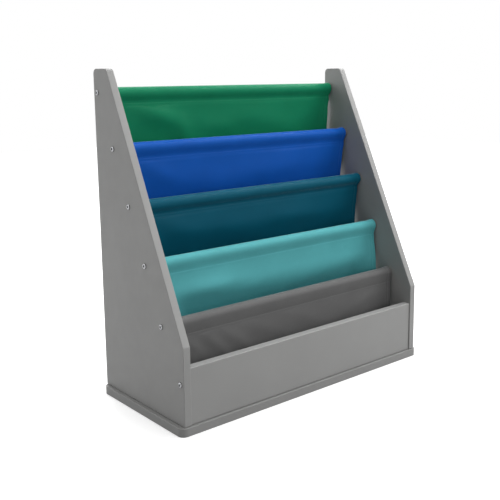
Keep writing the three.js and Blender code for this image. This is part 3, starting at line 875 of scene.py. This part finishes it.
    def sleeve_rows(self, t, extra, pucker):
        """Outer surface and bore of the sleeve for each column, and its two drops."""
        line, out, drops = self.sleeve()
        along = lengths_along(line)
        from_seam = np.minimum(along, along[-1] - along)
        near = np.exp(-(from_seam / PUCKER_REACH) ** 2)
        outward = (t / 2 + extra)[:, None] + pucker[:, None] * near
        outer = (line + outward[..., None] * out)[:, 1:-1]
        return outer, line - (t / 2)[:, None, None] * out, drops

    def seam_rows(self, sign, drop, half, pucker):
        """Outer face of the seam allowance from the sleeve's side down, 1 for the rear face."""
        down = np.linspace(0, 1, ALLOWANCE_ROWS + 1)
        z = self.seam[1] - drop + (drop - SEAM_ALLOWANCE) * down
        groove = STITCH_GROOVE * np.exp(
            -((z - self.seam[1] + SEAM_STITCH_DROP) / STITCH_GROOVE_WIDTH) ** 2)
        pull = pucker[:, None] * np.exp(-((self.seam[1] - z) / PUCKER_REACH) ** 2)
        y = self.seam[0] + sign * (half - groove) - pull
        return np.stack(np.broadcast_arrays(y, z), -1)

    def sheet_rows(self, t, extra, pucker):
        """Front surface, lower edge and rear surface of the sheet, and the rows' shares."""
        line, fall = self.path()
        run = np.gradient(line, axis=1)
        run[:, 0] = (0, -1)
        run /= np.linalg.norm(run, axis=-1, keepdims=True)
        depth = self.seam[1] - line[..., 1]
        line[..., 0] -= pucker[:, None] * np.exp(-(depth / PUCKER_REACH) ** 2)
        half = (t / 2 + extra)[:, None] + 0 * fall
        if self.last:
            hem_top = self.apron_end() + APRON_HEM
            half = half + t[:, None] / 2 * smooth_step((hem_top - line[..., 1]) / HEM_STEP)
        half = half[..., None]
        tip = line[:, -1:] + HEM_TIP_SHARE * half[:, -1:] * run[:, -1:]
        side = side_of(run)
        return line + half * side, tip, line - half * side, fall

    def width_shares(self, fall):
        """How wide each row of the sheet is, as a share of the sleeve's width."""
        begun = 1 - np.exp(-(fall / SEAM_DRAW_REACH_SHARE) ** 2)
        drawn = DRAW_IN * self.facts["draw_share"] * np.sin(np.pi * fall / 2)
        drawn += SEAM_DRAW_IN * self.facts["seam_draw_share"] * begun
        return 1 - drawn / self.half_width

    def rings(self):
        """Outer contour of every column, each row's share of the width, and the sleeve's bore.
        Puckers that the stitches draw into the cloth run along both sides of the seam."""
        t = CLOTH_THICKNESS * self.edge_share
        hem = HEM_EXTRA * (1 - smooth_step((self.inset - SIDE_HEM) / HEM_STEP)) * self.edge_share
        extra = hem - HEM_GROOVE * np.exp(
            -((self.inset - HEM_STITCH_INSET) / HEM_GROOVE_WIDTH) ** 2)
        pucker = PUCKER_DEPTH * sum(
            share * ripples(self.places, seed + self.k, wave)
            for share, seed, wave in zip(PUCKER_WAVE_SHARES, PUCKER_SEEDS, PUCKER_WAVES))
        half = (t + extra)[:, None]
        sleeve, bore_rows, (rear_drop, front_drop) = self.sleeve_rows(t, extra, pucker)
        front, tip, rear, fall = self.sheet_rows(t, extra, pucker)
        parts = dict(
            rear_seam=self.seam_rows(1, rear_drop, half, pucker)[:, ::-1], sleeve=sleeve,
            front_seam=self.seam_rows(-1, front_drop, half, pucker)[:, :-1],
            front=front, tip=tip, rear=rear[:, ::-1])
        self.rows = {}
        at = 0
        for part, rows in parts.items():
            self.rows[part] = slice(at, at + rows.shape[1])
            at += rows.shape[1]
        drawn = self.width_shares(fall)
        still = np.ones(self.rows["front"].start)
        shares = np.concatenate([still, drawn, drawn[-1:], drawn[::-1]])
        seam = np.broadcast_to(self.seam, (len(self.places), 1, 2))
        return np.concatenate(list(parts.values()), 1), shares, np.concatenate([seam, bore_rows], 1)

    def mesh(self, material):
        """The section as one closed solid; its outer surface is kept for the stitches."""
        contour, shares, bore_ring = self.rings()
        count, size, bore_size = len(self.places), contour.shape[1], bore_ring.shape[1]
        x = self.places[:, None, None]
        self.outside = np.concatenate([x * shares[:, None], contour], -1)
        inside = np.concatenate([np.broadcast_to(x, (count, bore_size, 1)), bore_ring], -1)
        ring = np.concatenate([self.outside, inside], 1)
        total = size + bore_size
        faces = band_faces(count, total, 0, size, False)
        faces += band_faces(count, total, size, bore_size, True)
        for i, flip in ((0, True), (count - 1, False)):
            loops = [[Vector((0, *point)) for point in loop[i]] for loop in (contour, bore_ring)]
            for triangle in tessellate_polygon(loops):
                corners = [i * total + corner for corner in triangle]
                faces.append(corners[::-1] if flip else corners)
        piece = face_outward(new_object(
            f"cloth_{self.facts['name']}", ring.reshape(-1, 3), faces, material,
            CLOTH_SMOOTH_ANGLE))
        mark_flat_cut(piece, self.places, lengths_along(ring[count // 2, :, 1:]))
        return piece

    def flat_length(self):
        """Length of the cut: round the sleeve, along the sheet, and two seam allowances."""
        column = len(self.places) // 2
        around = lengths_along(self.outside[column, self.rows["sleeve"]])[-1]
        hang = lengths_along(self.path()[0][column])[-1]
        return around + hang + 2 * SEAM_ALLOWANCE


def sample(table, along, spots):
    """The rows of a table of three columns, at spots along its line."""
    return np.stack([np.interp(spots, along, table[:, i]) for i in range(3)], -1)


def stitch_shape():
    """One stitch as rings about its own length: it dips into the cloth at both ends."""
    rings = STITCH_RINGS
    sides = STITCH_SIDES
    rows = []
    for i in range(rings):
        share = i / (rings - 1)
        swell = math.sin(math.pi * (STITCH_END_SHARE + (1 - 2 * STITCH_END_SHARE) * share))
        for j in range(sides):
            angle = 2 * math.pi * j / sides
            rows.append((
                STITCH_LENGTH * (share - 1 / 2),
                STITCH_RISE * (2 * swell - 1) + STITCH_RADIUS * swell * math.cos(angle),
                STITCH_RADIUS * swell * math.sin(angle)))
    faces = [list(range(sides)), list(range((rings - 1) * sides, rings * sides))]
    for i in range(rings - 1):
        for j in range(sides):
            n = (j + 1) % sides
            faces.append([i * sides + j, i * sides + n, (i + 1) * sides + n, (i + 1) * sides + j])
    return np.array(rows), faces


def stitch_places(line, normals):
    """Middle of each stitch on a line, and its axes: along the line, outward and across."""
    length = lengths_along(line)
    spots = np.arange(STITCH_PITCH / 2, length[-1], STITCH_PITCH)
    step = STITCH_PITCH / 4
    along = sample(line, length, spots + step) - sample(line, length, spots - step)
    along /= np.linalg.norm(along, axis=1, keepdims=True)
    out = sample(normals, length, spots)
    out -= along * (out * along).sum(1, keepdims=True)
    out /= np.linalg.norm(out, axis=1, keepdims=True)
    return sample(line, length, spots), np.stack([along, out, np.cross(along, out)], 1)


def stitches(name, lines, material):
    """Stitches along lines of (points, outward directions)."""
    shape, shape_faces = stitch_shape()
    vertices = []
    faces = []
    for line, normals in lines:
        for place, axes in zip(*stitch_places(line, normals)):
            first = len(vertices) * len(shape)
            vertices.append(place + shape @ axes)
            faces.extend([first + i for i in face] for face in shape_faces)
    piece = new_object(name, np.concatenate(vertices), faces, material, STITCH_SMOOTH_ANGLE)
    return face_outward(piece)


def grid_normals(grid):
    """Unit normals of a grid of surface points, columns by rows."""
    down = np.gradient(grid, axis=1)
    over = np.gradient(grid, axis=0)
    normal = np.cross(over, down)
    return normal / np.linalg.norm(normal, axis=-1, keepdims=True)


def stitch_lines(cloth):
    """Lines of stitches: along the seam on both sides, and down both side hems."""
    seam_z = cloth.seam[1] - SEAM_STITCH_DROP
    lines = []
    for parts, sign in ((("front_seam", "front"), -1), (("rear", "rear_seam"), 1)):
        grid = np.concatenate([cloth.outside[:, cloth.rows[part]] for part in parts], 1)
        normals = grid_normals(grid)
        normals *= np.sign(normals[..., 1].mean()) * sign
        near = np.abs(grid[len(grid) // 2, :, 2] - seam_z).argmin()
        lines.append((grid[1:-1, near], normals[1:-1, near]))
        left = np.abs(cloth.inset[:len(grid) // 2] - HEM_STITCH_INSET).argmin()
        for column in (left, len(grid) - 1 - left):
            lines.append((grid[column, 1:-1], normals[column, 1:-1]))
    return lines


# Materials
def new_material(name):
    material = bpy.data.materials.new(name)
    material.use_nodes = True
    tree = material.node_tree
    return material, tree, tree.nodes["Principled BSDF"]


def set_inputs(tree, made, inputs):
    """Links each input to another node's output or gives it a plain value."""
    for key, value in inputs.items():
        if isinstance(value, bpy.types.NodeSocket):
            tree.links.new(value, made.inputs[key])
        else:
            made.inputs[key].default_value = value


def add_node(tree, kind, inputs=None, **settings):
    made = tree.nodes.new(kind)
    for key, value in settings.items():
        setattr(made, key, value)
    set_inputs(tree, made, inputs or {})
    return made


def object_place(tree):
    return add_node(tree, "ShaderNodeTexCoord").outputs["Object"]


def noise(tree, vector, scale=1.0, detail=NOISE_DETAIL):
    made = add_node(tree, "ShaderNodeTexNoise",
                    {"Vector": vector, "Scale": scale, "Detail": detail})
    return made.outputs["Fac"]


def stretched(tree, vector, scales):
    made = add_node(tree, "ShaderNodeMapping", {"Vector": vector, "Scale": scales})
    return made.outputs["Vector"]


def remap(tree, value, low=0.0, high=1.0):
    made = add_node(tree, "ShaderNodeMapRange", {
        "Value": value, "From Min": NOISE_LOW, "From Max": NOISE_HIGH,
        "To Min": low, "To Max": high})
    return made.outputs["Result"]


def bumped(tree, height, strength, distance):
    made = add_node(tree, "ShaderNodeBump",
                    {"Height": height, "Strength": strength, "Distance": distance})
    return made.outputs["Normal"]


def math_node(tree, operation, a, b=0.0):
    made = add_node(tree, "ShaderNodeMath", {0: a, 1: b}, operation=operation)
    return made.outputs[0]


def mix_color(tree, factor, a, b):
    """A mix node has a set of sockets per kind of data, so its colours have these numbers."""
    made = add_node(tree, "ShaderNodeMix", {0: factor, 6: a, 7: b}, data_type="RGBA")
    return made.outputs[2]


def shaded(color, factor):
    return tuple(channel * factor for channel in color[:3]) + (1.0,)


def toned(tree, factor, color, shares):
    """The colour between two of its shades."""
    low, high = shares
    return mix_color(tree, factor, shaded(color, low), shaded(color, high))


def paint_material(name, share=1.0):
    material, tree, shader = new_material(name)
    place = object_place(tree)
    # A share below 1 gives a darker copy of the paint; on the base board this is painted shade.
    color = shaded(screen(PAINT_COLOR), share)
    cloud = remap(tree, noise(tree, place, PAINT_CLOUD_SCALE))
    speck = noise(tree, place, PAINT_SPECK_SCALE, FINE_NOISE_DETAIL)
    skin = noise(tree, place, PAINT_SKIN_SCALE, FINE_NOISE_DETAIL)
    height = math_node(tree, "ADD", skin,
                       math_node(tree, "MULTIPLY", speck, PAINT_SPECK_HEIGHT_SHARE))
    set_inputs(tree, shader, {
        "Base Color": mix_color(
            tree, remap(tree, speck, 0.0, PAINT_SPECK_MIX),
            toned(tree, cloud, color, PAINT_CLOUD_SHARES), shaded(color, PAINT_SPECK_SHARE)),
        "Roughness": remap(tree, noise(tree, place, PAINT_GLOSS_SCALE), *PAINT_ROUGHNESS),
        "Normal": bumped(tree, height, *PAINT_BUMP),
        "Specular IOR Level": PAINT_SPECULAR})
    return material


def wood_material():
    material, tree, shader = new_material("beech_wood")
    place = stretched(tree, object_place(tree), WOOD_GRAIN_SCALES)
    grain = noise(tree, place, detail=WOOD_GRAIN_DETAIL)
    set_inputs(tree, shader, {
        "Base Color": mix_color(tree, remap(tree, grain), screen(WOOD_COLOR),
                                screen(WOOD_GRAIN_COLOR)),
        "Roughness": remap(tree, grain, *WOOD_ROUGHNESS),
        "Normal": bumped(tree, grain, *WOOD_BUMP)})
    return material


def steel_material():
    material, tree, shader = new_material("plated_steel")
    scuff = noise(tree, object_place(tree), STEEL_SCUFF_SCALE)
    set_inputs(tree, shader, {
        "Metallic": 1.0,
        "Base Color": toned(tree, remap(tree, scuff), screen(STEEL_COLOR), STEEL_SCUFF_SHARES),
        "Roughness": remap(tree, scuff, *STEEL_ROUGHNESS),
        "Normal": bumped(tree, scuff, *STEEL_BUMP)})
    return material


def cloth_material(facts):
    """Plain weave in the flat cut's own coordinates, so that it follows every fold."""
    material, tree, shader = new_material(f"cloth_{facts['name']}")
    flat = add_node(tree, "ShaderNodeAttribute", attribute_name="flat_cut").outputs["Vector"]
    split = add_node(tree, "ShaderNodeSeparateXYZ", {"Vector": flat})
    warp, weft = (
        math_node(tree, "SINE", math_node(
            tree, "MULTIPLY", split.outputs[axis], 2 * math.pi / WEAVE_PITCH))
        for axis in "XY")
    crossing = math_node(tree, "MULTIPLY", warp, weft)
    threads = math_node(tree, "MULTIPLY", math_node(tree, "ADD", warp, weft), WEAVE_THREAD_SHARE)
    slubs = math_node(tree, "ADD", *(
        noise(tree, stretched(tree, flat, scales), detail=FINE_NOISE_DETAIL)
        for scales in SLUB_SCALES))
    height = math_node(tree, "ADD", math_node(tree, "ADD", crossing, threads), slubs)

    color = screen(facts["color"])
    dyed = toned(tree, remap(tree, noise(tree, flat, DYE_SCALE)), color, DYE_SHARES)
    slub = math_node(tree, "MULTIPLY", slubs, 1 / len(SLUB_SCALES))
    worn = mix_color(tree, remap(tree, slub, 0.0, SLUB_MIX), dyed, shaded(color, SLUB_SHARE))
    # Painted shade in the weave's hollows: darker where the crossing threads lie lowest.
    gap_shade = math_node(tree, "MULTIPLY", math_node(tree, "SUBTRACT", 1.0, crossing), WEAVE_GAP_SHADE_MIX)
    set_inputs(tree, shader, {
        "Base Color": mix_color(tree, gap_shade, worn, shaded(color, WEAVE_GAP_SHADE_SHARE)),
        "Roughness": CLOTH_ROUGHNESS,
        "Sheen Weight": CLOTH_SHEEN,
        "Sheen Roughness": CLOTH_SHEEN_ROUGHNESS,
        "Sheen Tint": WHITE,
        "Specular IOR Level": CLOTH_SPECULAR,
        "Normal": bumped(tree, height, *WEAVE_BUMP)})
    return material


def thread_material(facts):
    material, tree, shader = new_material(f"thread_{facts['name']}")
    twist = noise(tree, object_place(tree), THREAD_TWIST_SCALE, THREAD_TWIST_DETAIL)
    set_inputs(tree, shader, {
        "Base Color": toned(tree, remap(tree, twist), screen(facts["color"]), THREAD_SHARES),
        "Roughness": THREAD_ROUGHNESS})
    return material


# Stage
def camera():
    azimuth = math.radians(CAMERA_AZIMUTH)
    tilt = math.radians(CAMERA_TILT_DOWN)
    look = Vector((-math.sin(azimuth) * math.cos(tilt),
                   math.cos(azimuth) * math.cos(tilt), -math.sin(tilt)))
    level = Vector((math.cos(azimuth), math.sin(azimuth), 0))
    roll = math.radians(CAMERA_ROLL)
    upright = level.cross(look)
    right = level * math.cos(roll) + upright * math.sin(roll)
    up = right.cross(look)
    data = bpy.data.cameras.new("camera")
    data.sensor_width = SENSOR_WIDTH
    data.lens = FOCAL_LENGTH
    data.shift_x, data.shift_y = CAMERA_SHIFT
    seen_from = bpy.data.objects.new("camera", data)
    turn = Matrix((right, up, -look)).transposed()
    seen_from.matrix_world = Matrix.Translation(CAMERA_PLACE) @ turn.to_4x4()
    bpy.context.scene.collection.objects.link(seen_from)
    bpy.context.scene.camera = seen_from


def seen_directly(tree):
    """1 for camera, glossy and transmission rays, 0 for the rays that light the object."""
    path = add_node(tree, "ShaderNodeLightPath")
    shown = math_node(tree, "MAXIMUM", path.outputs["Is Camera Ray"],
                      path.outputs["Is Glossy Ray"])
    return math_node(tree, "MAXIMUM", shown, path.outputs["Is Transmission Ray"])


def mix_shader(tree, factor, first, second):
    return add_node(tree, "ShaderNodeMixShader", {
        0: factor, 1: first.outputs[0], 2: second.outputs[0]})


def world():
    made = bpy.data.worlds.new("studio")
    bpy.context.scene.world = made
    made.use_nodes = True
    tree = made.node_tree
    tree.nodes.clear()
    white = add_node(tree, "ShaderNodeBackground", {"Color": WHITE, "Strength": 1.0})
    light = add_node(tree, "ShaderNodeBackground", {"Color": WHITE, "Strength": WORLD_STRENGTH})
    mixed = mix_shader(tree, seen_directly(tree), light, white)
    add_node(tree, "ShaderNodeOutputWorld", {"Surface": mixed.outputs[0]})


def floor():
    """A white floor that keeps the shadow; it glows more the farther it lies from the shelf."""
    material, tree, shader = new_material("pale_floor")
    tree.nodes.remove(shader)
    seen = seen_directly(tree)
    bright = add_node(tree, "ShaderNodeBsdfDiffuse", {"Color": screen(FLOOR_COLOR)})
    dim = add_node(tree, "ShaderNodeBsdfDiffuse", {"Color": screen(FLOOR_BOUNCE_COLOR)})
    matte = mix_shader(tree, seen, dim, bright)
    distance = add_node(tree, "ShaderNodeVectorMath", {0: object_place(tree)}, operation="LENGTH")
    rising = add_node(tree, "ShaderNodeMapRange", {
        "Value": distance.outputs["Value"], "From Min": FLOOR_GLOW_START,
        "From Max": FLOOR_GLOW_END, "To Min": FLOOR_GLOW, "To Max": FAR_FLOOR_GLOW})
    strength = math_node(tree, "MULTIPLY", seen, rising.outputs["Result"])
    glow = add_node(tree, "ShaderNodeEmission", {"Color": WHITE, "Strength": strength})
    both = add_node(tree, "ShaderNodeAddShader", {0: matte.outputs[0], 1: glow.outputs[0]})
    set_inputs(tree, tree.nodes["Material Output"], {"Surface": both.outputs[0]})
    half = FLOOR_SIZE / 2
    corners = [(-half, -half), (half, -half), (half, half), (-half, half)]
    plane = new_object(
        "floor", [(x, y, -FLOOR_DROP) for x, y in corners], [(0, 1, 2, 3)], material)


def lamp(name, azimuth, elevation, power):
    turn = math.radians(azimuth)
    rise = math.radians(elevation)
    toward = Vector((-math.sin(turn) * math.cos(rise), -math.cos(turn) * math.cos(rise),
                     math.sin(rise)))
    data = bpy.data.lights.new(name, "AREA")
    data.shape = "DISK"
    data.size = LAMP_SIZE
    data.energy = power
    light = bpy.data.objects.new(name, data)
    place = Vector(LAMP_AIM) + toward * LAMP_DISTANCE
    light.matrix_world = Matrix.Translation(place) @ toward.to_track_quat(
        "Z", "Y").to_matrix().to_4x4()
    light.visible_camera = False
    bpy.context.scene.collection.objects.link(light)


# The bookshelf
camera()
world()
floor()
for facts in LAMPS:
    lamp(**facts)
bpy.context.scene.view_settings.view_transform = "Standard"

paint = paint_material("gray_paint")
# The base board's darker copy of the paint is painted shade.
base_coat_painted_shade = paint_material("gray_base_coat_painted_shade", BASE_PAINTED_SHADE_SHARE)
wood = wood_material()
steel = steel_material()
base_board(base_coat_painted_shade)
side_board("left", paint)
side_board("right", paint)
front_board(paint)

for dowel_node in DOWELS:
    dowel(dowel_node, wood)
for side_name, outward in SIDES.items():
    for screw_node in (*numbered(f"dowel_screw_{side_name}", len(CLOTHS)),
                       f"front_panel_screw_{side_name}"):
        round_screw(screw_node, outward, steel)
    for pin_node in (*numbered(f"side_pin_{side_name}", SIDE_PIN_COUNT),
                     f"front_pin_{side_name}"):
        wooden_pin(pin_node, wood)
for screw_node in BASE_SCREWS:
    flat_screw(screw_node, steel)

for k, facts in enumerate(CLOTHS):
    cloth = Cloth(k)
    piece = settle(cloth.mesh(cloth_material(facts)), [facts["node"]])
    seam = stitches(f"stitches_{facts['name']}", stitch_lines(cloth), thread_material(facts))
    settle(seam, [])
    length = cloth.flat_length()
